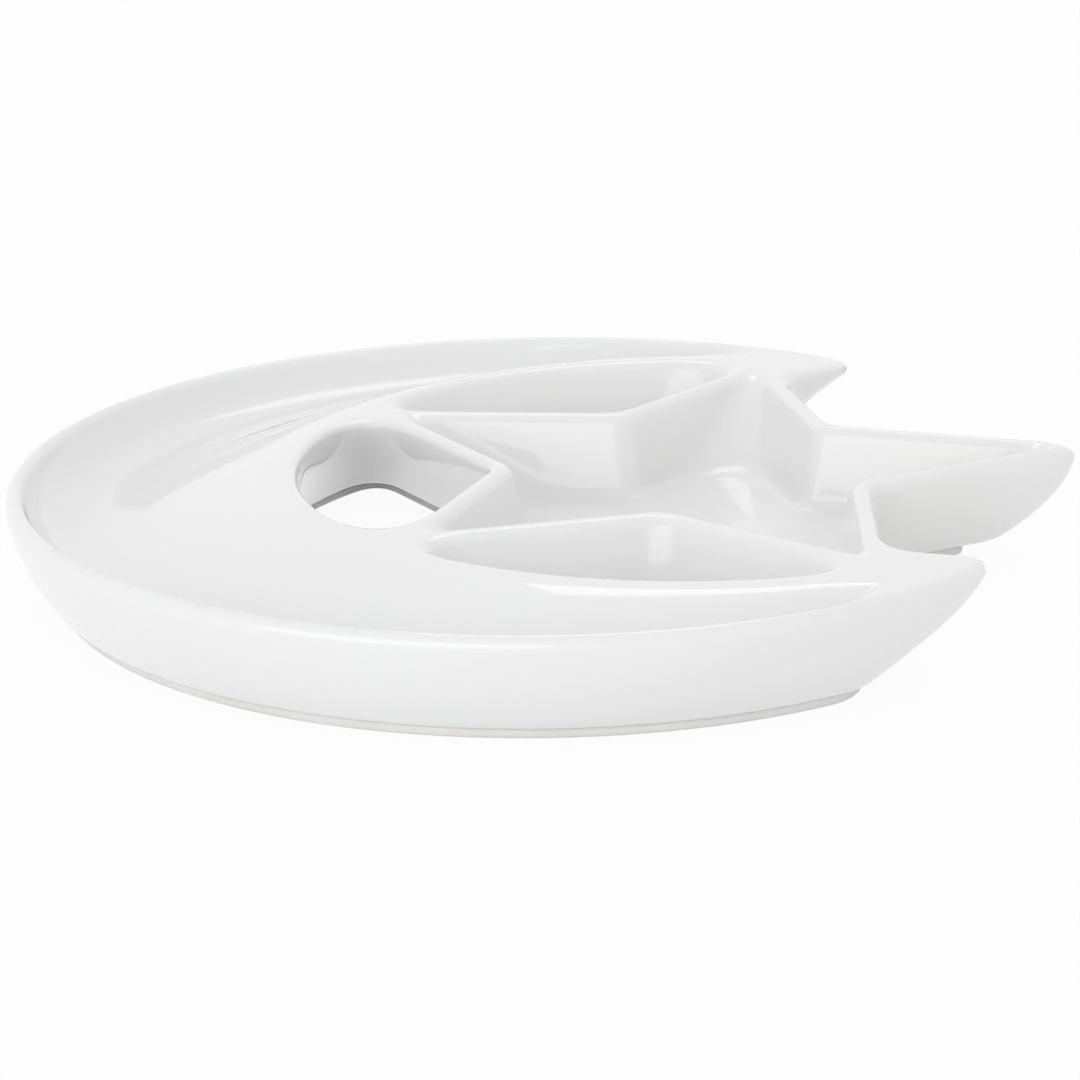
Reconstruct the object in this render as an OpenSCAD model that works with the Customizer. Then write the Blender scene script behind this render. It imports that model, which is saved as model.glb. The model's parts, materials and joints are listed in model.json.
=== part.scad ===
// Divided serving dish: a crescent tray that holds a five-pointed star bowl and two side wells,
// with a hand hole between the star and the crescent. Glazed porcelain on an unglazed foot.
// The origin is on the table, below the centre of the rim. X runs from the closed side of the
// crescent to the free point of the star. Z is up.

/* [Dish] */
// Radius of the dish at the outside of its rim
rim_r = 152.5; // [120:0.5:190]
// Height of the rim and of every ridge above the table
dish_h = 31.5; // [28:0.5:45]
// Thickness of the rim
rim_w = 5; // [4:0.5:8]
// How far the outside walls run in between the rim and the underside
wall_tuck = 11.5; // [6:0.5:14]
// How fast the outside walls turn in towards the underside
tuck_power = 2; // [1:0.25:3]

/* [Crescent tray] */
// Depth of the tray below the rim
tray_depth = 19.5; // [12:0.5:21]
// Width of the curve from the rim down to the floor of the tray
tray_wall_run = 32; // [20:1:40]
// Width of the slope from the floor of the tray up to the lip
lip_run = 50; // [24:1:56]
// Width of the lip at the hand hole
lip_w = 5.5; // [4:0.5:9]

/* [Well circle] */
// Radius of the circle that holds the star, the side wells and the hand hole
lip_r = 111; // [104:0.5:114]
// Distance of that circle's centre from the rim's centre
lip_x = 41; // [36:0.5:44]
// How far the walls of the side wells run in at their floor
well_draft = 6; // [2:0.5:8]
// Thickness of the floors of the side wells
well_floor = 4.5; // [3:0.25:10]

/* [Star bowl] */
// Distance of the star's centre from the rim's centre
star_x = 45; // [42:0.5:47]
// Distance from the star's centre to the ridge at its points
star_point_r = 107.5; // [98:0.5:110]
// Distance from the star's centre to the ridge at its free point
free_point_r = 111; // [104:0.5:114]
// Distance from the star's centre to the ridge at the inner corners beside the wells
star_corner_r = 53.7; // [48:0.1:58]
// Distance from the star's centre to the ridge at the inner corners beside the free point
mouth_corner_r = 51.8; // [46:0.1:56]
// Distance from the star's centre to the ridge at the inner corner in the hand hole
hole_corner_r = 56.4; // [50:0.1:60]
// Thickness of the ridge
star_wall = 5.5; // [4:0.5:8]
// Depth of the star bowl below the rim
bowl_depth = 24; // [18:0.5:24.5]
// How far the walls of the star bowl run in at its floor
bowl_draft = 6; // [2:0.5:9]
// Radius inside the points of the star bowl at the rim
point_round_r = 2.5; // [1:0.5:6]
// Radius inside the points of the star bowl at its floor
point_floor_r = 14; // [6:0.5:15]
// Radius of the inner corners of the star bowl
corner_round_r = 3; // [1:0.5:5]

/* [Mouth of the crescent] */
// Distance from the middle line to the straight edge inside each horn
mouth_half_w = 94.5; // [90:0.5:98]
// Radius where that edge meets the star
mouth_fillet_r = 8; // [3:0.5:10]
// Radius of the horns in plan
horn_round_r = 9; // [5:0.5:10]
// Angle from the middle line to where the horns end at the underside
horn_root_angle = 60; // [50:1:64]
// Distance from the middle line to where the horns leave the star at the underside
horn_root_y = 60; // [50:1:75]
// Radius of the free point of the star in plan
tip_round_r = 5; // [3:0.5:7]

/* [Foot] */
// Height of the foot rings
foot_h = 3; // [2:0.25:4]
// Width of the foot rings
foot_w = 5; // [4:0.25:7]
// Step from the underside's edge in to the foot rings
foot_inset = 2; // [1:0.25:3]
// Height of the hollow under the tray above the foot rings
hollow_h = 3.5; // [2:0.25:4]

/* [Hidden] */

// How far a cut runs past the face that it opens
overrun = 1;
$fn = 180;
corner_steps = 6;
// Share of the radius of the horns and of the free point that is lost at the underside
root_share = 0.6;
// Share of an edge of the star bowl that the round of a corner may take
edge_share = 0.9;
wall_steps = 5;
curve_steps = 9;
half_turn = 36;
glaze = "white";
biscuit = "antiquewhite";

bowl_floor_z = dish_h - bowl_depth;
well_floor_z = foot_h + well_floor;
well_depth = dish_h - well_floor_z;
tray_floor_z = dish_h - tray_depth;
crest_r = rim_w / 2;
foot_d = wall_tuck + foot_inset;
ridge_half = star_wall / 2;
well_top_run = well_draft * (well_depth + overrun) / well_depth;
bowl_top_run = bowl_draft * (bowl_depth + overrun) / bowl_depth;
shoulder_r = star_x - lip_x + lip_r + lip_w;
far_x = rim_r + lip_r;

// The side wells meet the star half way down the slopes round their floors, and the tray a
// quarter of the way down
joint_out = well_draft / 2;
joint_r = lip_r - well_draft / 4;

// How far height z lies down the wall, from 0 at the rim to 1 at the underside
function fall(z) = (dish_h - max(foot_h, min(dish_h, z))) / (dish_h - foot_h);

// How far the outside has run in at height z
function tuck(z) = wall_tuck * pow(fall(z), tuck_power);

// Heights at which the outside walls are drawn, with a run past each end
wall_levels = concat(
    [foot_h - overrun],
    [for (i = [0:wall_steps]) foot_h + (dish_h - foot_h) * i / wall_steps],
    [dish_h + overrun]
);

function unit(v) = v / norm(v);

// Distance from the star's centre to its ridge at each step round it: even steps are points,
// odd steps are inner corners
ridge_radii = [
    free_point_r, mouth_corner_r, star_point_r, star_corner_r, star_point_r,
    hole_corner_r, star_point_r, star_corner_r, star_point_r, mouth_corner_r
];

function ridge_at(step) =
    let (r = ridge_radii[step % len(ridge_radii)])
    [star_x + r * cos(half_turn * step), r * sin(half_turn * step)];

// Outward direction of the edge from this step to the next
function edge_out(step) =
    let (run = unit(ridge_at(step + 1) - ridge_at(step)))
    [run.y, -run.x];

// A corner of the star after its edges have moved outwards by the grown value
function star_at(step, grown) =
    let (before = edge_out(step + len(ridge_radii) - 1))
    let (after = edge_out(step))
    ridge_at(step) + (before + after) * grown / (1 + before * after);

// One corner turned into an arc of radius r, or less on short edges, from the side of before to
// the side of after
function arc_corner(before, at, after, r) =
    let (u = unit(before - at))
    let (v = unit(after - at))
    let (half = acos(max(-1, min(1, u * v))) / 2)
    let (reach = min(r / tan(half), edge_share * min(norm(before - at), norm(after - at))))
    let (centre = at + unit(u + v) * reach / cos(half))
    let (from = at + u * reach - centre)
    let (to = at + v * reach - centre)
    let (turn = 180 - 2 * half)
    [for (i = [0:corner_steps])
        centre + (from * sin(turn * (1 - i / corner_steps)) + to * sin(turn * i / corner_steps)) / sin(turn)];

// Outline of the inside of the star bowl, with its edges moved in from the ridge and its points
// rounded by point_r
function bowl_outline(moved_in, point_r) =
    [for (step = [0:len(ridge_radii) - 1])
        each arc_corner(
            star_at(step + len(ridge_radii) - 1, -moved_in),
            star_at(step, -moved_in),
            star_at(step + 1, -moved_in),
            step % 2 == 0 ? point_r : corner_round_r
        )];

// Wedge between two edges of the star, opening away from the inner corner with this step
function wedge(step, grown) =
    let (corner = star_at(step, grown))
    let (first = unit(star_at(step - 1, grown) - corner))
    let (second = unit(star_at(step + 1, grown) - corner))
    [corner, corner + first * far_x, corner + second * far_x];

// Side of the mouth where Y is positive, from outside the horn round to the star's inner corner.
// The walls are cut in, and the fall goes from 0 at the rim to 1 at the underside: with it the
// horn's inner edge swings from square across the mouth to its root beside the star.
function mouth_side(cut_in, fall) =
    let (outer = rim_r - cut_in)
    let (corner = star_at(1, ridge_half - cut_in))
    let (along = unit(star_at(2, ridge_half - cut_in) - corner))
    let (leave_y = mouth_half_w + (horn_root_y - mouth_half_w) * pow(fall, tuck_power))
    let (leave = corner + along * (leave_y - corner.y) / along.y)
    let (end_angle = asin(mouth_half_w / rim_r) * (1 - fall) + horn_root_angle * fall)
    let (edge = unit(outer * [cos(end_angle), sin(end_angle)] - leave))
    let (inward = [-edge.y, edge.x])
    let (start = leave + inward * max(0, cut_in - wall_tuck))
    let (r = horn_round_r * (1 - root_share * fall))
    let (base = start + inward * r)
    let (reach = edge * base)
    let (centre = base + edge * (sqrt(reach * reach - base * base + pow(outer - r, 2)) - reach))
    let (lean = atan2(centre.y, centre.x))
    let (turn = lean - atan2(-inward.y, -inward.x))
    concat(
        [(outer + overrun) * [cos(lean), sin(lean)]],
        [for (i = [0:corner_steps])
            let (a = lean - turn * i / corner_steps)
            centre + r * [cos(a), sin(a)]],
        [for (i = [0:corner_steps])
            let (t = i / corner_steps)
            (start + edge * mouth_fillet_r) * (1 - t) * (1 - t)
            + start * 2 * t * (1 - t)
            + (leave - along * mouth_fillet_r) * t * t],
        [corner]
    );

// Rounded free point of the star, with its walls cut in
function free_point(cut_in, fall) =
    let (r = tip_round_r * (1 - root_share * pow(fall, tuck_power)))
    let (cx = star_at(0, ridge_half - cut_in - r).x)
    let (lean = atan2(edge_out(0).y, edge_out(0).x))
    [for (i = [0:corner_steps])
        let (a = lean - 2 * lean * i / corner_steps)
        [cx + r * cos(a), r * sin(a)]];

// Everything between the horns that isn't the free arm of the star
function mouth(cut_in, fall) =
    let (side = mouth_side(cut_in, fall))
    let (last = len(side) - 1)
    concat(
        side,
        free_point(cut_in, fall),
        [for (i = [0:last]) [side[last - i].x, -side[last - i].y]],
        [[far_x, -far_x], [far_x, far_x]]
    );

// Solid between outlines of equal point counts, one at each height, counted anticlockwise. The
// middle is a point from which the whole of the first and of the last outline can be seen.
module loft(heights, outlines, middle) {
    n = len(outlines[0]);
    last = len(heights) - 1;
    low = (last + 1) * n;
    polyhedron(
        points = concat(
            [for (k = [0:last]) for (p = outlines[k]) [p.x, p.y, heights[k]]],
            [[middle.x, middle.y, heights[0]], [middle.x, middle.y, heights[last]]]
        ),
        faces = concat(
            [for (i = [0:n - 1]) [low, i, (i + 1) % n]],
            [for (i = [0:n - 1]) [low + 1, last * n + (i + 1) % n, last * n + i]],
            [for (k = [0:last - 1]) for (i = [0:n - 1]) each [
                [k * n + i, (k + 1) * n + i, (k + 1) * n + (i + 1) % n],
                [k * n + i, (k + 1) * n + (i + 1) % n, k * n + (i + 1) % n]
            ]]
        )
    );
}

// Cuts

module mouth_cut() {
    loft(wall_levels, [for (z = wall_levels) mouth(tuck(z), fall(z))], [far_x - overrun, 0]);
}

module hole_cut() {
    intersection() {
        translate([lip_x, 0, 0])
        rotate_extrude()
        polygon(concat(
            [[0, foot_h - overrun]],
            [for (z = wall_levels) [lip_r + tuck(z), z]],
            [[0, dish_h + overrun]]
        ));
        loft(
            wall_levels,
            [for (z = wall_levels) wedge(5, ridge_half - tuck(z))],
            [lip_x - lip_r, 0]
        );
    }
}

// Rear side well; the front one is its mirror image
module well_cut() {
    top = dish_h + overrun;
    intersection() {
        translate([lip_x, 0, 0])
        rotate_extrude()
        polygon([
            [0, well_floor_z],
            [lip_r - well_draft, well_floor_z],
            [lip_r - well_draft + well_top_run, top],
            [0, top]
        ]);
        loft(
            [well_floor_z, top],
            [wedge(3, ridge_half + well_draft), wedge(3, ridge_half + well_draft - well_top_run)],
            [lip_x, lip_r]
        );
    }
}

module bowl_cut() {
    loft(
        [bowl_floor_z, dish_h, dish_h + overrun],
        [
            bowl_outline(ridge_half + bowl_draft, point_floor_r),
            bowl_outline(ridge_half, point_round_r),
            bowl_outline(ridge_half + bowl_draft - bowl_top_run, point_round_r)
        ],
        [star_x, 0]
    );
}

// The channel of the tray: a bowl that follows the rim, less a cone that follows the lip
module tray_cut() {
    inner_r = rim_r - rim_w;
    past_run = lip_run * overrun / tray_depth;
    difference() {
        rotate_extrude()
        polygon(concat(
            [[0, tray_floor_z]],
            [for (i = [0:curve_steps])
                let (a = 90 * i / curve_steps)
                [inner_r - tray_wall_run * (1 - sin(a)), dish_h - tray_depth * cos(a)]],
            [[inner_r, dish_h + overrun], [0, dish_h + overrun]]
        ));
        translate([star_x, 0, 0])
        rotate_extrude()
        polygon([
            [0, tray_floor_z - overrun],
            [shoulder_r + lip_run + past_run, tray_floor_z - overrun],
            [shoulder_r - 2 * past_run, dish_h + 2 * overrun],
            [0, dish_h + 2 * overrun]
        ]);
    }
}

// Hollow under the tray, between the outer foot ring and the one round the hand hole
module under_hollow() {
    translate([0, 0, foot_h - overrun])
    linear_extrude(hollow_h + overrun)
    difference() {
        circle(r = rim_r - foot_d - foot_w);
        translate([lip_x, 0])
        circle(r = lip_r + foot_d + foot_w);
    }
}

// Pieces

// Outer shape of the whole dish above the foot, with a rounded rim
module dish_blank() {
    rotate_extrude()
    polygon(concat(
        [[0, foot_h]],
        [for (i = [0:wall_steps - 1])
            let (z = foot_h + (dish_h - crest_r - foot_h) * i / wall_steps)
            [rim_r - tuck(z), z]],
        [for (i = [0:corner_steps])
            let (a = 90 * i / corner_steps)
            [rim_r - crest_r + crest_r * cos(a), dish_h - crest_r + crest_r * sin(a)]],
        [[0, dish_h]]
    ));
}

module joint_core() {
    translate([lip_x, 0, 0])
    cylinder(r = joint_r, h = dish_h + overrun);
}

// Where the free arm of the star leaves the well circle, between the two horns
module free_arm_zone() {
    translate([lip_x, -mouth_half_w, 0])
    cube([far_x, 2 * mouth_half_w, dish_h + overrun]);
}

// The star out to its joints, with a run past its top and its underside
module star_zone(past) {
    intersection() {
        translate([0, 0, foot_h - past])
        linear_extrude(dish_h - foot_h + 2 * past)
        polygon([for (step = [0:len(ridge_radii) - 1]) star_at(step, ridge_half + joint_out)]);
        union() {
            joint_core();
            free_arm_zone();
        }
    }
}

// The rear side well out to its joints
module well_zone() {
    intersection() {
        joint_core();
        linear_extrude(dish_h + overrun)
        polygon(wedge(3, ridge_half + joint_out));
    }
}

module crescent_tray() {
    color(glaze)
    difference() {
        dish_blank();
        star_zone(overrun);
        well_zone();
        mirror([0, 1, 0])
        well_zone();
        mouth_cut();
        hole_cut();
        well_cut();
        mirror([0, 1, 0])
        well_cut();
        tray_cut();
        under_hollow();
    }
}

module star_bowl() {
    color(glaze)
    difference() {
        star_zone(0);
        mouth_cut();
        hole_cut();
        well_cut();
        mirror([0, 1, 0])
        well_cut();
        bowl_cut();
    }
}

module side_well() {
    difference() {
        intersection() {
            dish_blank();
            well_zone();
        }
        mouth_cut();
        hole_cut();
        well_cut();
    }
}

module rear_side_well() {
    color(glaze)
    side_well();
}

module front_side_well() {
    color(glaze)
    mirror([0, 1, 0])
    side_well();
}

// Plan of the underside without the hand hole, with its edges moved in
module base_plan(moved_in) {
    difference() {
        circle(r = rim_r - moved_in);
        polygon(mouth(moved_in, 1));
    }
}

// Plan of the hand hole, with its edges moved out
module hole_plan(moved_out) {
    intersection() {
        translate([lip_x, 0])
        circle(r = lip_r + moved_out);
        polygon(wedge(5, ridge_half - moved_out));
    }
}

module outer_foot_ring() {
    color(biscuit)
    linear_extrude(foot_h)
    difference() {
        base_plan(foot_d);
        base_plan(foot_d + foot_w);
    }
}

module inner_foot_ring() {
    color(biscuit)
    linear_extrude(foot_h)
    difference() {
        hole_plan(foot_d + foot_w);
        hole_plan(foot_d);
    }
}

crescent_tray();
star_bowl();
rear_side_well();
front_side_well();
outer_foot_ring();
inner_foot_ring();
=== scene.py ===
import json
import math
import bpy
import bmesh
import numpy as np
from mathutils import Matrix, Vector

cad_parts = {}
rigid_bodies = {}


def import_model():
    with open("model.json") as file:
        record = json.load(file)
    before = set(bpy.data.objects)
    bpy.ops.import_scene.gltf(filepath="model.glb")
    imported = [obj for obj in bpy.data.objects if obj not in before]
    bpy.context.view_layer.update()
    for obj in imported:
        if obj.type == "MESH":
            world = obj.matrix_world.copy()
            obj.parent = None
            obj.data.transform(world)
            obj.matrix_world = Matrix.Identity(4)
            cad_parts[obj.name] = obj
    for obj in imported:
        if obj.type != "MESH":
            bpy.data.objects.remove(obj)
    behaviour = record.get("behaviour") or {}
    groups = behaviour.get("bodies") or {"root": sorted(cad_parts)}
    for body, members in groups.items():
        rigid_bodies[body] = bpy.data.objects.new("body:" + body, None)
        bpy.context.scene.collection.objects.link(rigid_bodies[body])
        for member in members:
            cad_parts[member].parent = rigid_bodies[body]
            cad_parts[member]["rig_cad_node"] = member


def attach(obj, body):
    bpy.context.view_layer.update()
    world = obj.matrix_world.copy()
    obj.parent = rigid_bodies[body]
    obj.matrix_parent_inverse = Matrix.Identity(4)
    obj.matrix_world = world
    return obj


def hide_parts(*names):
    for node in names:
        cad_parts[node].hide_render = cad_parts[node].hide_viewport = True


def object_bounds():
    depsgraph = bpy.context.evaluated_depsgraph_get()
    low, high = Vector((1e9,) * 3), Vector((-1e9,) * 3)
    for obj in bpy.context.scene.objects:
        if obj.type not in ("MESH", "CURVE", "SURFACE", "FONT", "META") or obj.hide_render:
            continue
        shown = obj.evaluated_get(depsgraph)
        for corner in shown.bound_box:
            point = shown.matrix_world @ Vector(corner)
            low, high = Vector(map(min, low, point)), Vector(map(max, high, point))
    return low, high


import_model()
cadLow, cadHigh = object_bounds()
mm = 0.001
tiny = 1e-9  # keeps a division from meeting 0
print("frame loaded")

# Sizes in millimetres, as in the part's source where it has them. The origin is on the table,
# below the centre of the rim. X runs to the free point of the star and Y to the rear well.
dish = {
    "rimRadius": 152.5,
    "height": 31.5,
    "rimWidth": 5.0,
    "wallTuck": 11.5,
    "tuckPower": 2.0,
    "footHeight": 3.0,
    "rimRounding": 4.5,
    "edgeRounding": 3.0,
    "undersideRounding": 2.0,
}


def softMax(a, b, blend):  # larger of two fields, with the edge between them rounded
    over = np.maximum(blend - np.abs(a - b), 0.0)
    return np.maximum(a, b) + over * over / (4.0 * blend)


def softMin(a, b, blend):
    return -softMax(-a, -b, blend)


def fallAt(z):  # 0 at the rim, 1 at the underside
    top = dish["height"]
    foot = dish["footHeight"]
    return (top - np.clip(z, foot, top)) / (top - foot)


def tuckAt(z):
    return dish["wallTuck"] * fallAt(z) ** dish["tuckPower"]


def easeStep(t):
    t = np.clip(t, 0.0, 1.0)
    return t * t * (3.0 - 2.0 * t)


# The star: a ridge with five points and five inner corners, numbered round from the free point
star = {
    "centreX": 45.0,
    "freePoint": 111.0,
    "point": 107.5,
    "mouthCorner": 51.8,
    "wellCorner": 53.7,
    "holeCorner": 56.4,
    "ridgeHalf": 2.75,
    "depth": 24.0,
    "draft": 6.0,
    "pointRounding": 6.7,
    "floorPointRounding": 38.0,
    "cornerRounding": 4.0,
    "floorRounding": 4.0,
    "tipRounding": 12.0,
    "rootShare": 0.6,
}

cornerRadii = [
    star["freePoint"], star["mouthCorner"], star["point"], star["wellCorner"], star["point"],
    star["holeCorner"], star["point"], star["wellCorner"], star["point"], star["mouthCorner"],
]
stepTurn = 2 * math.pi / len(cornerRadii)


def ridgeCorner(step):
    r = cornerRadii[step % len(cornerRadii)]
    return np.array([star["centreX"] + r * math.cos(stepTurn * step), r * math.sin(stepTurn * step)])


def ridgeOut(step):  # outward direction of the edge from this corner to the next
    run = ridgeCorner(step + 1) - ridgeCorner(step)
    run = run / np.linalg.norm(run)
    return np.array([run[1], -run[0]])


def grownCorner(step, grown):
    before = ridgeOut(step - 1)
    after = ridgeOut(step)
    return ridgeCorner(step) + (before + after) * grown / (1.0 + before @ after)


def edgeField(step, x, y):
    corner = ridgeCorner(step)
    out = ridgeOut(step)
    return (x - corner[0]) * out[0] + (y - corner[1]) * out[1]


def starField(x, y, grown, pointBlend):  # below 0 inside the star
    field = None
    for step in range(1, len(cornerRadii), 2):
        before = edgeField(step - 1, x, y) - grown
        after = edgeField(step, x, y) - grown
        wedge = softMin(before, after, star["cornerRounding"])
        field = wedge if field is None else softMax(field, wedge, pointBlend)
    return field


def bowlSpace(x, y, z):  # above 0 inside the space
    down = (dish["height"] - z) / star["depth"]
    widening = star["floorPointRounding"] - star["pointRounding"]
    pointBlend = star["pointRounding"] + widening * np.clip(down, 0.0, 1.0)
    walls = -starField(x, y, -star["ridgeHalf"] - star["draft"] * down, pointBlend)
    floor = z - (dish["height"] - star["depth"])
    return softMin(walls, floor, star["floorRounding"])


# The circle that holds the star, with a side well on either side and the hand hole at its left
wells = {
    "centreX": 41.0,
    "radius": 111.0,
    "draft": 6.0,
    "endRounding": 22.0,
    "cornerRounding": 6.0,
    "floorRounding": 5.0,
}
hole = {"endRounding": 30.0, "lowEndRounding": 14.0, "cornerRounding": 4.0}


def wellDistance(x, y):
    return np.hypot(x - wells["centreX"], y)


def wellSpace(x, y, z):
    draft = wells["draft"] * (dish["height"] - z) / star["depth"]
    grown = star["ridgeHalf"] + draft
    side = np.abs(y)
    wedge = softMin(edgeField(2, x, side) - grown, edgeField(3, x, side) - grown, wells["cornerRounding"])
    walls = softMin(wedge, wells["radius"] - draft - wellDistance(x, y), wells["endRounding"])
    floor = z - (dish["height"] - star["depth"])
    return softMin(walls, floor, wells["floorRounding"])


def holeSpace(x, y, z):
    grown = star["ridgeHalf"] - tuckAt(z)
    wedge = softMin(edgeField(4, x, y) - grown, edgeField(5, x, y) - grown, hole["cornerRounding"])
    ends = hole["endRounding"] + (hole["lowEndRounding"] - hole["endRounding"]) * fallAt(z)
    return softMin(wedge, wells["radius"] + tuckAt(z) - wellDistance(x, y), ends)


# The tray: a channel that curves down from the rim and rises to a lip at the hand hole
tray = {
    "depth": 19.5,
    "wallRun": 32.0,
    "lipShare": 0.62,
    "lipBase": 13.0,
    "lipRise": 18.5,
    "lipWidth": 5.5,
    "floorRounding": 12.0,
    "leastRounding": 0.5,
    "leastWidth": 4.0,
    "endWidth": 15.0,  # width below which the channel gets shallower, towards the horns
    "endGuard": 9.0,
}


def traySpace(x, y, z):
    inner = dish["rimRadius"] - dish["rimWidth"]
    across = np.maximum((np.hypot(x, y) - inner + tray["wallRun"]) / tray["wallRun"], 0.0)
    down = np.maximum((dish["height"] - z) / tray["depth"], 0.0)
    reach = np.hypot(across, down) + tiny
    steep = np.hypot(across / tray["wallRun"], down / tray["depth"]) / reach + tiny
    rimSide = (1.0 - reach) / steep
    shoulder = star["centreX"] - wells["centreX"] + wells["radius"] + tray["lipWidth"]
    past = np.hypot(x - star["centreX"], y) - shoulder
    width = np.maximum(past + inner - np.hypot(x, y), tray["leastWidth"])
    slope = tray["lipRise"] / (tray["lipShare"] * width + tray["lipBase"])
    lipSide = (z - dish["height"] + slope * past) / np.sqrt(1.0 + slope * slope)
    rounding = tray["floorRounding"] * easeStep(past / width) + tray["leastRounding"]
    space = softMin(rimSide, lipSide, rounding)
    return space - tray["endGuard"] * (1.0 - easeStep(width / tray["endWidth"]))


# The mouth between the horns: their inner edges swing from square to the mouth at the rim to
# their roots beside the star at the underside
mouth = {
    "halfWidth": 94.5,
    "rootY": 60.0,
    "rootAngle": 60.0,
    "filletRounding": 22.0,
    "hornRounding": 20.0,
    "cornerRounding": 5.0,
    "stripStart": 60.0,
}


def planField(x, y, z):  # below 0 inside the outside walls
    fall = fallAt(z)
    tuck = tuckAt(z)
    outer = dish["rimRadius"] - tuck
    grown = star["ridgeHalf"] - tuck
    side = np.abs(y)
    powered = fall ** dish["tuckPower"]
    tip = star["tipRounding"] * (1.0 - star["rootShare"] * powered)
    arm = softMax(edgeField(0, x, y), edgeField(9, x, y), tip) - grown
    flank = edgeField(1, x, side) - grown
    space = softMin(arm, flank, mouth["cornerRounding"])
    corner = ridgeCorner(1)
    along = ridgeCorner(2) - corner
    along = along / np.linalg.norm(along)
    out = ridgeOut(1)
    leaveY = mouth["halfWidth"] + (mouth["rootY"] - mouth["halfWidth"]) * powered
    leaveX = corner[0] + grown * out[0] + (leaveY - corner[1] - grown * out[1]) * along[0] / along[1]
    squareAngle = math.asin(mouth["halfWidth"] / dish["rimRadius"])
    angle = squareAngle * (1.0 - fall) + math.radians(mouth["rootAngle"]) * fall
    runX = outer * np.cos(angle) - leaveX
    runY = outer * np.sin(angle) - leaveY
    length = np.hypot(runX, runY)
    horn = (x - leaveX) * runY / length - (side - leaveY) * runX / length  # above 0 in the mouth
    space = softMin(space, horn, mouth["filletRounding"])
    strip = np.maximum(-horn, mouth["stripStart"] - x)
    disc = np.minimum(np.hypot(x, y) - outer, strip)
    return softMax(disc, space, mouth["hornRounding"] * (1.0 - star["rootShare"] * fall))


# The foot rings, and the hollow under the tray between them
foot = {
    "inset": 2.0,
    "width": 5.0,
    "edge": 1.0,
    "edgeSteps": 3,
    "hollow": 3.5,
    "hollowRounding": 3.0,
}


def hollowSpace(x, y, z):
    reach = dish["wallTuck"] + foot["inset"] + foot["width"]
    ring = softMin(
        dish["rimRadius"] - reach - np.hypot(x, y),
        wellDistance(x, y) - wells["radius"] - reach,
        foot["hollowRounding"],
    )
    return softMin(ring, dish["footHeight"] + foot["hollow"] - z, foot["hollowRounding"])


def dishField(x, y, z):  # below 0 inside the porcelain
    rounding = dish["rimRounding"]
    field = softMax(planField(x, y, z), z - dish["height"], rounding)
    rounding = dish["edgeRounding"]
    field = softMax(field, bowlSpace(x, y, z), rounding)
    field = softMax(field, wellSpace(x, y, z), rounding)
    field = softMax(field, traySpace(x, y, z), rounding)
    field = softMax(field, holeSpace(x, y, z), rounding)
    field = softMax(field, dish["footHeight"] - z, dish["undersideRounding"])
    return softMax(field, hollowSpace(x, y, z), dish["undersideRounding"])


# The skin of the porcelain is found where the field is 0
skin = {
    "cell": 1.5,
    "margin": 2.0,
    "slab": 16,
    "probe": 0.05,
    "settleRounds": 5,
    "longestMove": 0.8,
    "leastSlope": 1e-3,
}


def slopeAt(points):
    step = skin["probe"]
    slope = np.empty_like(points)
    for axis in range(3):
        ahead = points.copy()
        behind = points.copy()
        ahead[:, axis] += step
        behind[:, axis] -= step
        slope[:, axis] = (dishField(*ahead.T) - dishField(*behind.T)) / (2.0 * step)
    return slope


def findSkin():
    cell = skin["cell"]
    low = np.array(cadLow) / mm - skin["margin"]
    high = np.array(cadHigh) / mm + skin["margin"]
    low[2] = dish["footHeight"] - skin["margin"]
    low[1] = -high[1] - cell / 2
    axes = [np.arange(low[i], high[i] + cell, cell) for i in range(3)]
    value = np.empty([len(a) for a in axes])
    for start in range(0, len(axes[0]), skin["slab"]):
        part = slice(start, start + skin["slab"])
        value[part] = dishField(*np.meshgrid(axes[0][part], axes[1], axes[2], indexing="ij"))
    inside = value < 0.0
    shape = np.array(value.shape)
    stride = np.array([shape[1] * shape[2], shape[2], 1])
    total = np.zeros((value.size, 3))
    count = np.zeros(value.size)
    quads = []
    for axis in range(3):
        lower = [slice(1, -1)] * 3
        upper = [slice(1, -1)] * 3
        upper[axis] = slice(2, None)
        crossed = np.argwhere(inside[tuple(lower)] != inside[tuple(upper)]) + 1
        here = crossed @ stride
        a = value.ravel()[here]
        b = value.ravel()[here + stride[axis]]
        place = low + crossed * cell
        place[:, axis] += cell * a / (a - b)
        first = stride[(axis + 1) % 3]
        second = stride[(axis + 2) % 3]
        ring = np.stack([here - first - second, here - second, here, here - first], axis=1)
        for column in ring.T:
            np.add.at(total, column, place)
            np.add.at(count, column, 1.0)
        flipped = a >= 0.0
        ring[flipped] = ring[flipped][:, ::-1]
        quads.append(ring)
    quads = np.concatenate(quads)
    used, quads = np.unique(quads, return_inverse=True)
    quads = quads.reshape(-1, 4)
    points = total[used] / count[used][:, None]
    for _ in range(skin["settleRounds"]):
        slope = slopeAt(points)
        steep = np.maximum((slope ** 2).sum(1), skin["leastSlope"])
        move = slope * (dishField(*points.T) / steep)[:, None]
        size = np.linalg.norm(move, axis=1, keepdims=True)
        points -= move * np.minimum(1.0, skin["longestMove"] / np.maximum(size, tiny))
    return points, quads


def meshFrom(name, points, faces):
    mesh = bpy.data.meshes.new(name)
    mesh.vertices.add(len(points))
    mesh.vertices.foreach_set("co", np.asarray(points, np.float32).ravel())
    sizes = np.array([len(f) for f in faces])
    mesh.loops.add(int(sizes.sum()))
    mesh.loops.foreach_set("vertex_index", np.concatenate([np.asarray(f) for f in faces]).astype(np.int32))
    mesh.polygons.add(len(sizes))
    mesh.polygons.foreach_set("loop_start", (np.cumsum(sizes) - sizes).astype(np.int32))
    mesh.update(calc_edges=True)
    mesh.validate()
    piece = bpy.data.objects.new(name, mesh)
    bpy.context.scene.collection.objects.link(piece)
    return piece


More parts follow.
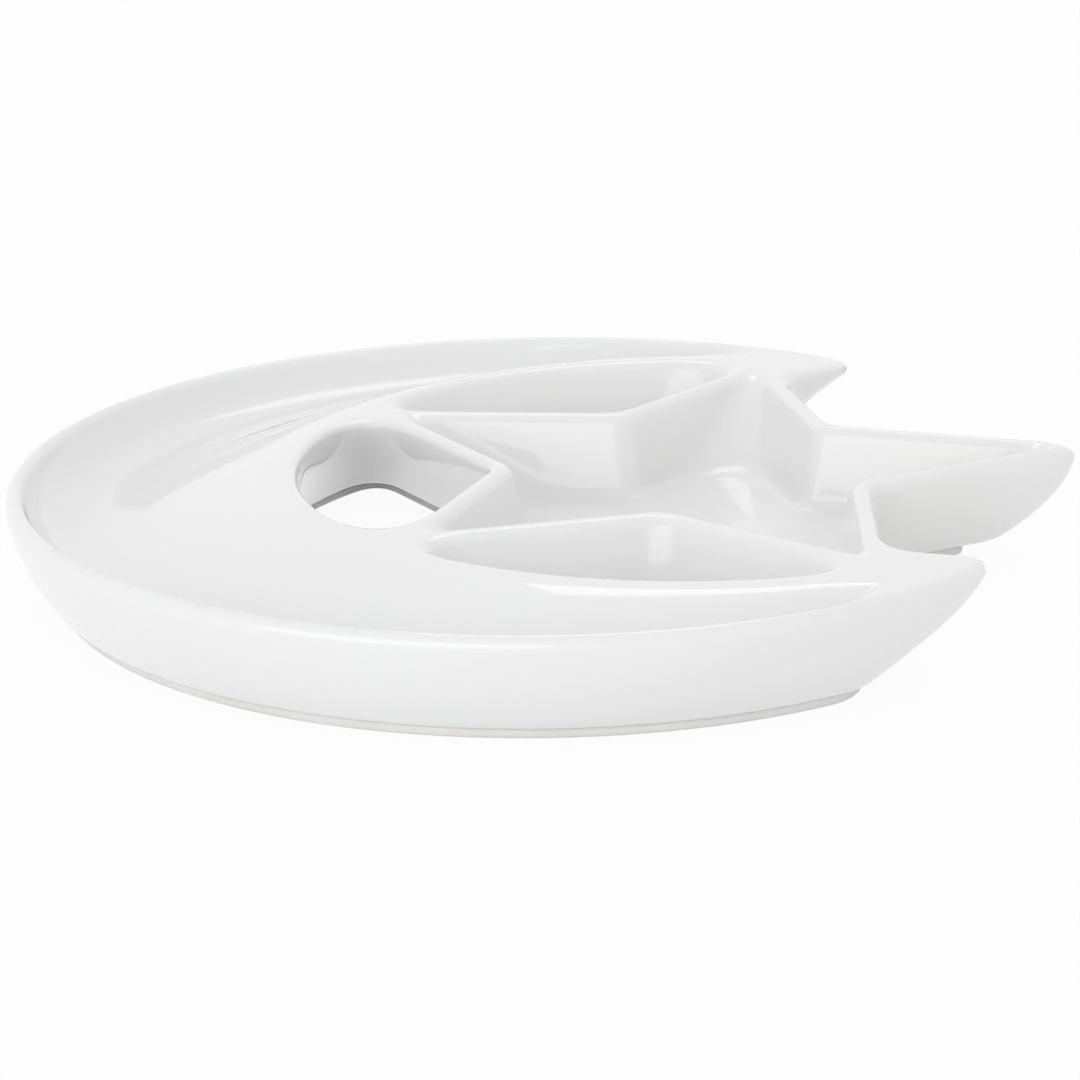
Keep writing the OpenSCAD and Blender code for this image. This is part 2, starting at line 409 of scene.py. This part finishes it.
def prismFrom(name, outline, low, high):  # outline counted anticlockwise, in millimetres
    n = len(outline)
    points = [[x * mm, y * mm, z * mm] for z in (low, high) for x, y in outline]
    faces = [list(range(n))[::-1], [n + i for i in range(n)]]
    faces += [[i, (i + 1) % n, n + (i + 1) % n, n + i] for i in range(n)]
    return meshFrom(name, points, faces)


# The skin is parted where the nodes of the part meet: down the slopes round the star and the wells
joints = {
    "out": 3.0,
    "coreOut": 1.5,
    "coreSides": 180,
    "reach": 300.0,
    "wellReach": 3,
    "below": -5.0,
    "above": 40.0,
    "step": 1,  # the tools end at different heights, so that no two ends lie in one plane
    "depth": 0.6,  # a face this deep in the porcelain is a joint
    "leastFacing": 0.3,
}


def combine(piece, tool, operation, name):
    result = piece.copy()
    result.data = piece.data.copy()
    result.name = name
    bpy.context.scene.collection.objects.link(result)
    cut = result.modifiers.new("cut", "BOOLEAN")
    cut.solver = "MANIFOLD"
    cut.operation = operation
    cut.object = tool
    graph = bpy.context.evaluated_depsgraph_get()
    mesh = bpy.data.meshes.new_from_object(result.evaluated_get(graph))
    result.modifiers.clear()
    result.data = mesh
    mesh.name = name
    return result


def smoothNormals(piece):  # the skin's own slope gives the normals, so no joint shows on the glaze
    mesh = piece.data
    points = np.empty(len(mesh.vertices) * 3, np.float32)
    mesh.vertices.foreach_get("co", points)
    points = points.reshape(-1, 3).astype(float) / mm
    slope = slopeAt(points)
    slope /= np.maximum(np.linalg.norm(slope, axis=1, keepdims=True), tiny)
    corners = np.empty(len(mesh.loops), np.int32)
    mesh.loops.foreach_get("vertex_index", corners)
    sizes = np.empty(len(mesh.polygons), np.int32)
    mesh.polygons.foreach_get("loop_total", sizes)
    flat = np.empty(len(mesh.polygons) * 3, np.float32)
    mesh.polygons.foreach_get("normal", flat)
    flat = np.repeat(flat.reshape(-1, 3), sizes, axis=0)
    centre = np.empty(len(mesh.polygons) * 3, np.float32)
    mesh.polygons.foreach_get("center", centre)
    depth = dishField(*(centre.reshape(-1, 3).astype(float) / mm).T)
    along = np.einsum("ij,ij->i", slope[corners], flat)
    joint = np.repeat(depth < -joints["depth"], sizes) | (along < joints["leastFacing"])
    normals = np.where(joint[:, None], flat, slope[corners])
    mesh.polygons.foreach_set("use_smooth", np.ones(len(mesh.polygons), bool))
    mesh.normals_split_custom_set(normals.tolist())


points, quads = findSkin()
blank = meshFrom("dishBlank", points * mm, quads)
print("skin found:", len(points), "points,", len(quads), "faces")

joinedOut = star["ridgeHalf"] + joints["out"]


def zoneFrom(name, outline, taller):
    past = joints["step"] * taller
    return prismFrom(name, outline, joints["below"] - past, joints["above"] + past)


def coreOutline():
    radius = wells["radius"] - joints["coreOut"]
    turns = [2 * math.pi * (i + 0.5) / joints["coreSides"] for i in range(joints["coreSides"])]
    return [(wells["centreX"] + radius * math.cos(t), radius * math.sin(t)) for t in turns]


def wellZone(name, side):
    corner = grownCorner(3, joinedOut)
    first = grownCorner(2, joinedOut) - corner
    second = grownCorner(4, joinedOut) - corner
    outline = [corner, corner + first * joints["wellReach"], corner + second * joints["wellReach"]]
    outline = [(p[0], p[1] * side) for p in outline]
    outline = outline if side > 0 else outline[::-1]
    return zoneFrom(name, outline, -1)


core = zoneFrom("core", coreOutline(), 0)
armOutline = [
    (wells["centreX"], -mouth["halfWidth"]),
    (joints["reach"], -mouth["halfWidth"]),
    (joints["reach"], mouth["halfWidth"]),
    (wells["centreX"], mouth["halfWidth"]),
]
armZone = zoneFrom("armZone", armOutline, 1)
starOutline = [tuple(grownCorner(step, joinedOut)) for step in range(len(cornerRadii))]
starZone = zoneFrom("starZone", starOutline, -1)
inCircle = combine(core, armZone, "UNION", "inCircle")
starTool = combine(starZone, inCircle, "INTERSECT", "starTool")
rearTool = combine(wellZone("rearZone", 1), core, "INTERSECT", "rearTool")
frontTool = combine(wellZone("frontZone", -1), core, "INTERSECT", "frontTool")
starBowl = combine(blank, starTool, "INTERSECT", "glazedStarBowl")
rest = combine(blank, starTool, "DIFFERENCE", "rest")
rearWell = combine(rest, rearTool, "INTERSECT", "glazedRearWell")
rest = combine(rest, rearTool, "DIFFERENCE", "rest")
frontWell = combine(rest, frontTool, "INTERSECT", "glazedFrontWell")
crescent = combine(rest, frontTool, "DIFFERENCE", "glazedCrescent")
shown = [crescent, starBowl, rearWell, frontWell]
for piece in [o for o in bpy.context.scene.objects if o.type == "MESH"]:
    if piece not in shown and "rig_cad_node" not in piece:
        bpy.data.objects.remove(piece)
for piece in shown:
    smoothNormals(piece)
    print(piece.name, len(piece.data.polygons), "faces")


# Foot rings: a rounded profile swept along the underside's outline
trace = {
    "step": 2.5,
    "probe": 0.01,
    "settleRounds": 6,
    "leastSlope": 1e-6,
    "fewest": 3,
    "most": 2000,
    "closeShare": 0.75,  # the walk ends when its next point is this near to the first, in steps
}


def settle(field, p):  # moves the point on to the line, and gives the line's direction there
    probe = trace["probe"]
    for _ in range(trace["settleRounds"]):
        dx = (field(p[0] + probe, p[1]) - field(p[0] - probe, p[1])) / (2 * probe)
        dy = (field(p[0], p[1] + probe) - field(p[0], p[1] - probe)) / (2 * probe)
        steep = max(dx * dx + dy * dy, trace["leastSlope"])
        p = p - np.array([dx, dy]) * field(p[0], p[1]) / steep
    return p, np.array([-dy, dx]) / max(math.hypot(dx, dy), tiny)


def tracePath(field, start):  # walks along the line where the field is 0
    path = []
    p, along = settle(field, np.array(start, float))
    first = p
    while len(path) < trace["most"]:
        path.append(p)
        p, along = settle(field, p + along * trace["step"])
        home = np.linalg.norm(p - first) < trace["step"] * trace["closeShare"]
        if home and len(path) > trace["fewest"]:
            break
    return path


def footRing(name, field, start):
    path = tracePath(field, start)
    mesh = bpy.data.meshes.new(name)
    mesh.from_pydata(
        [(p[0] * mm, p[1] * mm, dish["footHeight"] * mm / 2) for p in path],
        [(i, (i + 1) % len(path)) for i in range(len(path))],
        [],
    )
    piece = bpy.data.objects.new(name, mesh)
    bpy.context.scene.collection.objects.link(piece)
    return piece


def footTree(material):
    tree = bpy.data.node_groups.new("sweptFoot", "GeometryNodeTree")
    tree.interface.new_socket("Geometry", in_out="INPUT", socket_type="NodeSocketGeometry")
    for label in ("Foot Width", "Foot Height", "Edge Radius"):
        tree.interface.new_socket(label, in_out="INPUT", socket_type="NodeSocketFloat")
    tree.interface.new_socket("Geometry", in_out="OUTPUT", socket_type="NodeSocketGeometry")
    nodes = tree.nodes
    entry = nodes.new("NodeGroupInput")
    toCurve = nodes.new("GeometryNodeMeshToCurve")
    upright = nodes.new("GeometryNodeSetCurveNormal")
    upright.mode = "Z_UP"
    section = nodes.new("GeometryNodeCurvePrimitiveQuadrilateral")
    rounded = nodes.new("GeometryNodeFilletCurve")
    sweep = nodes.new("GeometryNodeCurveToMesh")
    smooth = nodes.new("GeometryNodeSetShadeSmooth")
    realize = nodes.new("GeometryNodeRealizeInstances")
    finish = nodes.new("GeometryNodeSetMaterial")
    leave = nodes.new("NodeGroupOutput")
    rounded.mode = "POLY"
    rounded.inputs["Count"].default_value = foot["edgeSteps"]
    finish.inputs["Material"].default_value = material
    link = tree.links.new
    link(entry.outputs["Geometry"], toCurve.inputs["Mesh"])
    link(toCurve.outputs["Curve"], upright.inputs["Curve"])
    link(entry.outputs["Foot Width"], section.inputs["Width"])
    link(entry.outputs["Foot Height"], section.inputs["Height"])
    link(section.outputs["Curve"], rounded.inputs["Curve"])
    link(entry.outputs["Edge Radius"], rounded.inputs["Radius"])
    link(upright.outputs["Curve"], sweep.inputs["Curve"])
    link(rounded.outputs["Curve"], sweep.inputs["Profile Curve"])
    link(sweep.outputs["Mesh"], smooth.inputs["Geometry"])
    link(smooth.outputs["Geometry"], realize.inputs["Geometry"])
    link(realize.outputs["Geometry"], finish.inputs["Geometry"])
    link(finish.outputs["Geometry"], leave.inputs["Geometry"])
    return tree


def sweep(piece, tree, values):
    modifier = piece.modifiers.new("sweep", "NODES")
    modifier.node_group = tree
    for item in tree.interface.items_tree:
        if item.item_type == "SOCKET" and item.in_out == "INPUT" and item.name in values:
            modifier[item.identifier] = values[item.name]
    graph = bpy.context.evaluated_depsgraph_get()
    mesh = bpy.data.meshes.new_from_object(piece.evaluated_get(graph))
    piece.modifiers.clear()
    piece.data = mesh
    mesh.name = piece.name
    build = bmesh.new()
    build.from_mesh(mesh)
    bmesh.ops.recalc_face_normals(build, faces=build.faces)
    build.to_mesh(mesh)
    build.free()
    return piece


# Materials
glazeLook = {
    "colour": (0.89, 0.893, 0.9),
    "warmColour": (0.885, 0.885, 0.88),
    "tintScale": 14.0,
    "tintDetail": 2.0,
    "bodyRoughness": 0.32,
    "coatRoughness": 0.03,
    "coatWeight": 1.0,
    "ior": 1.5,
    "waveScale": 22.0,
    "waveDetail": 1.0,
    "waveHeight": 0.00012,
    "pitScale": 420.0,
    "pitDetail": 2.0,
    "pitHeight": 0.00004,
}
tintSpan = (0.35, 0.65)  # levels of the noise at which a tint begins and is full
footLook = {
    "colour": (0.89, 0.885, 0.875),
    "darkColour": (0.86, 0.85, 0.83),
    "patchScale": 60.0,
    "patchDetail": 5.0,
    "grainScale": 2400.0,
    "grainDetail": 4.0,
    "grainHeight": 0.00001,
    "roughness": 0.45,
}


def newMaterial(name):
    material = bpy.data.materials.new(name)
    material.use_nodes = True
    nodes = material.node_tree.nodes
    shader = nodes["Principled BSDF"]
    place = nodes.new("ShaderNodeTexCoord")
    return material, nodes, material.node_tree.links.new, shader, place.outputs["Object"]


def noiseAt(nodes, link, place, scale, detail):
    noise = nodes.new("ShaderNodeTexNoise")
    noise.inputs["Scale"].default_value = scale
    noise.inputs["Detail"].default_value = detail
    link(place, noise.inputs["Vector"])
    return noise.outputs["Fac"]


def tintAt(nodes, link, amount, first, second):
    ramp = nodes.new("ShaderNodeValToRGB")
    for element, position, colour in zip(ramp.color_ramp.elements, tintSpan, (first, second)):
        element.position = position
        element.color = (*colour, 1)
    link(amount, ramp.inputs["Fac"])
    return ramp.outputs["Color"]


def bumpFrom(nodes, link, height, distance, before=None):
    bump = nodes.new("ShaderNodeBump")
    bump.inputs["Distance"].default_value = distance
    link(height, bump.inputs["Height"])
    if before is not None:
        link(before, bump.inputs["Normal"])
    return bump.outputs["Normal"]


def makeGlaze():
    look = glazeLook
    material, nodes, link, shader, place = newMaterial("whiteGlaze")
    tint = noiseAt(nodes, link, place, look["tintScale"], look["tintDetail"])
    link(tintAt(nodes, link, tint, look["colour"], look["warmColour"]), shader.inputs["Base Color"])
    waves = noiseAt(nodes, link, place, look["waveScale"], look["waveDetail"])
    pits = noiseAt(nodes, link, place, look["pitScale"], look["pitDetail"])
    waved = bumpFrom(nodes, link, waves, look["waveHeight"])
    pitted = bumpFrom(nodes, link, pits, look["pitHeight"], waved)
    link(pitted, shader.inputs["Normal"])
    link(waved, shader.inputs["Coat Normal"])
    shader.inputs["Roughness"].default_value = look["bodyRoughness"]
    shader.inputs["IOR"].default_value = look["ior"]
    shader.inputs["Coat Weight"].default_value = look["coatWeight"]
    shader.inputs["Coat Roughness"].default_value = look["coatRoughness"]
    shader.inputs["Coat IOR"].default_value = look["ior"]
    return material


def makeBareFoot():
    look = footLook
    material, nodes, link, shader, place = newMaterial("bareFootPorcelain")
    patches = noiseAt(nodes, link, place, look["patchScale"], look["patchDetail"])
    link(tintAt(nodes, link, patches, look["colour"], look["darkColour"]), shader.inputs["Base Color"])
    grain = noiseAt(nodes, link, place, look["grainScale"], look["grainDetail"])
    link(bumpFrom(nodes, link, grain, look["grainHeight"]), shader.inputs["Normal"])
    shader.inputs["Roughness"].default_value = look["roughness"]
    return material


glaze = makeGlaze()
bareFoot = makeBareFoot()

footMiddle = dish["wallTuck"] + foot["inset"] + foot["width"] / 2


def outerFootField(x, y):
    return planField(x, y, dish["footHeight"]) + foot["inset"] + foot["width"] / 2


def innerFootField(x, y):
    return holeSpace(x, y, dish["footHeight"]) + foot["inset"] + foot["width"] / 2


tree = footTree(bareFoot)
footValues = {
    "Foot Width": foot["width"] * mm,
    "Foot Height": dish["footHeight"] * mm,
    "Edge Radius": foot["edge"] * mm,
}
outerStart = (footMiddle - dish["rimRadius"], 0)
innerStart = (wells["centreX"] - wells["radius"] - footMiddle, 0)
outerFoot = sweep(footRing("outerFoot", outerFootField, outerStart), tree, footValues)
innerFoot = sweep(footRing("innerFoot", innerFootField, innerStart), tree, footValues)
print("feet swept:", len(outerFoot.data.polygons), len(innerFoot.data.polygons), "faces")

stands = [
    (crescent, "crescent_tray", "glaze", glaze),
    (starBowl, "star_bowl", "glaze", glaze),
    (rearWell, "rear_side_well", "glaze", glaze),
    (frontWell, "front_side_well", "glaze", glaze),
    (outerFoot, "outer_foot_ring", "bare_foot", bareFoot),
    (innerFoot, "inner_foot_ring", "bare_foot", bareFoot),
]
for piece, node, slot, material in stands:
    piece.data.materials.clear()
    piece.data.materials.append(material)
    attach(piece, "root")
    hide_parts(node)
print("pieces dressed")

# Floor, world and lights
studio = {
    "floorSize": 6.0,
    "floorColour": (0.93, 0.93, 0.93),
    "floorRoughness": 0.9,
    "floorSpecular": 0.1,
    "floorGlow": 0.93,
    "white": (1, 1, 1, 1),
    "whiteStrength": 1.0,
    "worldStrength": 0.8,
    "overhead": {"at": (0.15, 0.75, 1.15), "size": (0.55, 0.4), "power": 0.9},
    "window": {"at": (-0.95, -1.45, 0.5), "size": (1.9, 1.0), "power": 6.5},
}


def addLight(name, values):
    data = bpy.data.lights.new(name, "AREA")
    data.shape = "RECTANGLE"
    data.size, data.size_y = values["size"]
    data.energy = values["power"]
    lamp = bpy.data.objects.new(name, data)
    lamp.location = values["at"]
    lamp.rotation_mode = "QUATERNION"
    lamp.rotation_quaternion = (-Vector(values["at"])).to_track_quat("-Z", "Y")
    bpy.context.scene.collection.objects.link(lamp)


for name in ("overhead", "window"):
    addLight(name, studio[name])


def seenWhite(nodes, link, plain, white):  # white to the camera, to reflections and through glass
    path = nodes.new("ShaderNodeLightPath")
    first = nodes.new("ShaderNodeMath")
    first.operation = "MAXIMUM"
    second = nodes.new("ShaderNodeMath")
    second.operation = "MAXIMUM"
    mix = nodes.new("ShaderNodeMixShader")
    link(path.outputs["Is Camera Ray"], first.inputs[0])
    link(path.outputs["Is Glossy Ray"], first.inputs[1])
    link(first.outputs["Value"], second.inputs[0])
    link(path.outputs["Is Transmission Ray"], second.inputs[1])
    link(second.outputs["Value"], mix.inputs["Fac"])
    link(plain, mix.inputs[1])
    link(white, mix.inputs[2])
    return mix.outputs["Shader"]


def makeWorld():
    world = bpy.data.worlds.new("studioWorld")
    bpy.context.scene.world = world
    world.use_nodes = True
    nodes = world.node_tree.nodes
    link = world.node_tree.links.new
    plain = nodes["Background"]
    plain.inputs["Color"].default_value = studio["white"]
    plain.inputs["Strength"].default_value = studio["worldStrength"]
    white = nodes.new("ShaderNodeBackground")
    white.inputs["Color"].default_value = studio["white"]
    white.inputs["Strength"].default_value = studio["whiteStrength"]
    mixed = seenWhite(nodes, link, plain.outputs["Background"], white.outputs["Background"])
    link(mixed, nodes["World Output"].inputs["Surface"])


def makeFloor():
    half = studio["floorSize"] / 2
    corners = [(-half, -half, 0), (half, -half, 0), (half, half, 0), (-half, half, 0)]
    floor = meshFrom("floor", corners, [[0, 1, 2, 3]])
    material, nodes, link, shader, place = newMaterial("paleFloor")
    shader.inputs["Base Color"].default_value = (*studio["floorColour"], 1)
    shader.inputs["Roughness"].default_value = studio["floorRoughness"]
    shader.inputs["Specular IOR Level"].default_value = studio["floorSpecular"]
    glow = nodes.new("ShaderNodeEmission")
    blend = nodes.new("ShaderNodeMixShader")
    blend.inputs["Fac"].default_value = studio["floorGlow"]
    link(shader.outputs["BSDF"], blend.inputs[1])
    link(glow.outputs["Emission"], blend.inputs[2])
    mixed = seenWhite(nodes, link, shader.outputs["BSDF"], blend.outputs["Shader"])
    link(mixed, nodes["Material Output"].inputs["Surface"])
    floor.data.materials.append(material)
    return floor


makeWorld()
makeFloor()
print("studio ready")

# Camera, from the fit of the dish's outlines to the photograph
view = {
    "yaw": -4.88,
    "elevation": 17.91,
    "distance": 0.9961,
    "focal": 3448.7,
    "roll": -0.83,
    "middle": (544.05, 568.60),
    "image": 1080,
    "sensor": 36.0,
}


def makeCamera():
    yaw = math.radians(view["yaw"])
    up = math.radians(view["elevation"])
    roll = math.radians(view["roll"])
    back = Vector((math.sin(yaw) * math.cos(up), -math.cos(yaw) * math.cos(up), math.sin(up)))
    right = Vector((math.cos(yaw), math.sin(yaw), 0))
    over = back.cross(right)
    turnedRight = right * math.cos(roll) + over * math.sin(roll)
    turnedUp = over * math.cos(roll) - right * math.sin(roll)
    data = bpy.data.cameras.new("camera")
    data.sensor_width = view["sensor"]
    data.lens = view["sensor"] * view["focal"] / view["image"]
    data.shift_x = (view["image"] / 2 - view["middle"][0]) / view["image"]
    data.shift_y = (view["middle"][1] - view["image"] / 2) / view["image"]
    camera = bpy.data.objects.new("camera", data)
    rows = Matrix((turnedRight, turnedUp, back)).transposed().to_4x4()
    camera.matrix_world = Matrix.Translation(back * view["distance"]) @ rows
    bpy.context.scene.collection.objects.link(camera)
    bpy.context.scene.camera = camera


makeCamera()
bpy.context.scene.view_settings.view_transform = "Standard"
